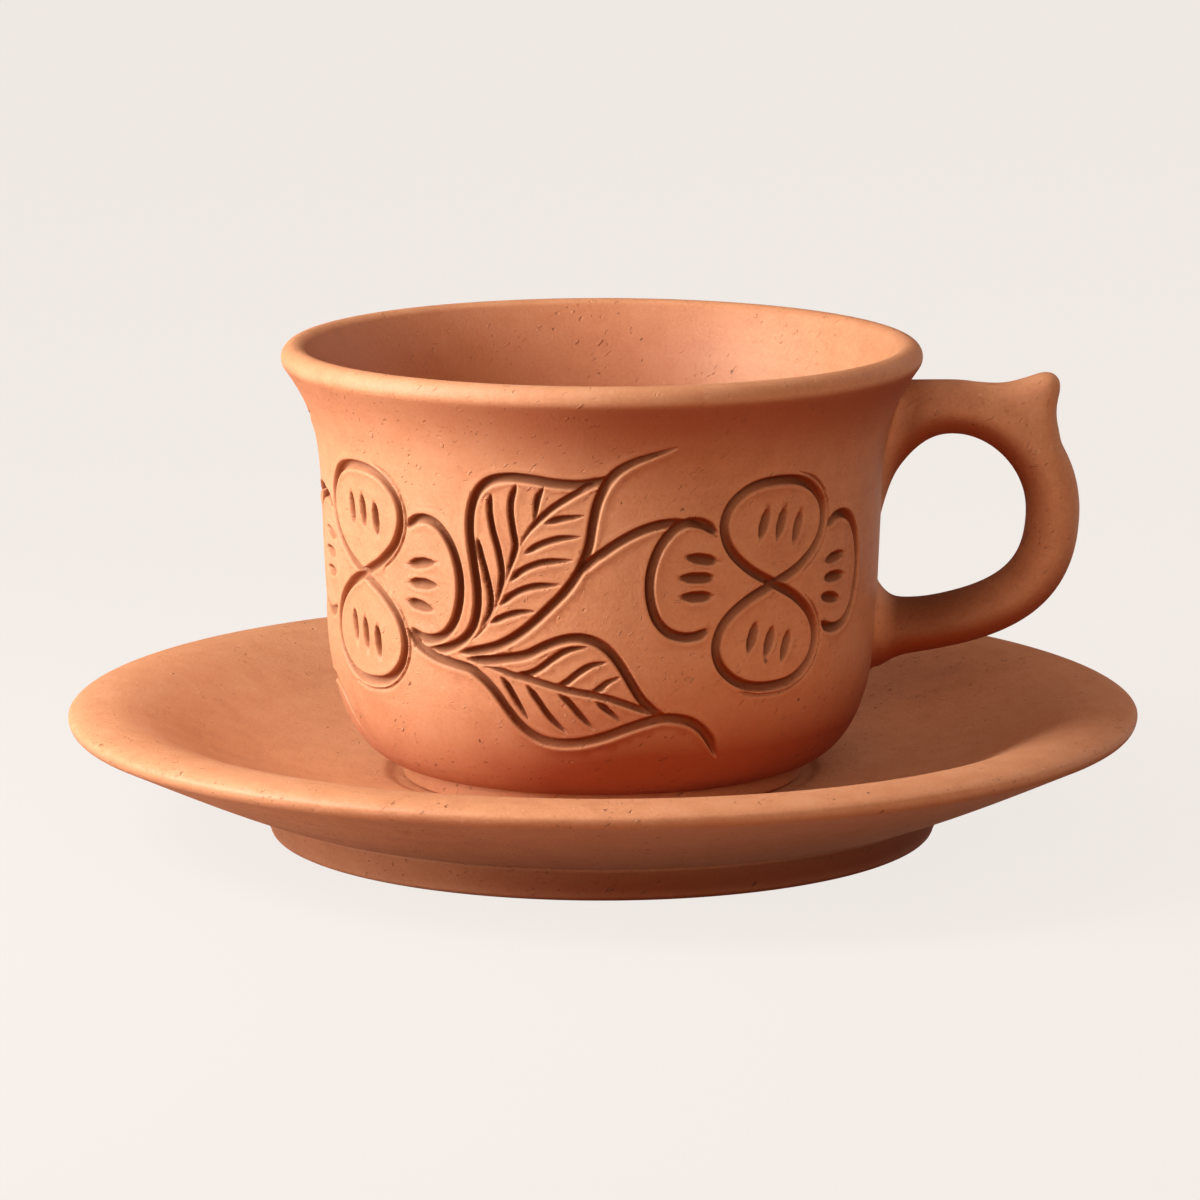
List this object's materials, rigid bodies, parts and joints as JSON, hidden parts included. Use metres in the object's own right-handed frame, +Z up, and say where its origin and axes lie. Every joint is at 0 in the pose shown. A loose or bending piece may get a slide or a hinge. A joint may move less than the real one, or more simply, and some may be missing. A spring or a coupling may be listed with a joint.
{
  "type": "cup and saucer",
  "caption": "Unglazed terracotta cup with a flared rim and a looped handle with a thumb rest, resting in the well of a broad saucer on a foot ring.",
  "frame": {"origin": "centre of the saucer's foot ring, on the table", "axes": "+Z up along the turning axis, +X towards the cup's handle"},
  "size_m": [0.15, 0.15, 0.0692],
  "materials": {
    "saucer_clay": "unglazed, matte, fine grain",
    "cup_clay": "unglazed, matte, fine grain, incised flowers and leaves"
  },
  "bodies": {
    "saucer": {"saucer_dish": "saucer_clay", "saucer_foot_ring": "saucer_clay"},
    "cup": {"cup_bowl": "cup_clay", "cup_foot_ring": "cup_clay", "handle": "cup_clay", "thumb_rest": "cup_clay"}
  },
  "joints": [
    {"name": "cup_lift", "type": "slide", "parent": "saucer", "child": "cup", "axis": [0, 0, 1], "range_m": [0, 0.1]}
  ]
}
